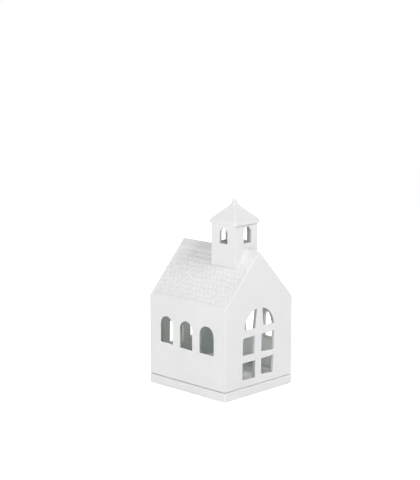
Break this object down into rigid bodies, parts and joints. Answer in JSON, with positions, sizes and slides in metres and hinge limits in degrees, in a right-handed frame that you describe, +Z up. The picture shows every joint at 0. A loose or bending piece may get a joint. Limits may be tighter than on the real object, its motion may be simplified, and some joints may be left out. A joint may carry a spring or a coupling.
{
  "type": "ceramic candle house",
  "caption": "White porcelain chapel-shaped candle house with arched windows, a tiled roof and a belfry; it lifts off its base plate, which holds a tealight.",
  "frame": {"origin": "centre of the base's underside, where the house stands on its shelf", "axes": "+Z up, -Y out of the front gable with the tall window, X across the house; the belfry stands nearer the front"},
  "size_m": [0.0822, 0.089, 0.1609],
  "materials": {
    "base_porcelain": "matt bisque",
    "house_porcelain": "matt bisque outside, thin clear glaze inside",
    "cup_aluminium": "bright pressed foil",
    "wax": "waxy satin",
    "wick_cotton": "waxed braid",
    "sustainer_steel": "tinned sheet"
  },
  "bodies": {
    "base": {"base_plate": "base_porcelain"},
    "house": {"house_shell": "house_porcelain", "belfry_tower": "house_porcelain", "belfry_cap": "house_porcelain"},
    "tealight": {"tealight_cup": "cup_aluminium"},
    "candle": {"candle_wax": "wax", "candle_wick": "wick_cotton", "wick_sustainer": "sustainer_steel"}
  },
  "joints": [
    {"name": "house_lift", "type": "slide", "parent": "base", "child": "house", "axis": [0, 0, 1], "range_m": [0, 0.06]},
    {"name": "tealight_lift", "type": "slide", "parent": "base", "child": "tealight", "axis": [0, 0, 1], "range_m": [0, 0.02]},
    {"name": "candle_lift", "type": "slide", "parent": "tealight", "child": "candle", "axis": [0, 0, 1], "range_m": [0, 0.016]}
  ]
}
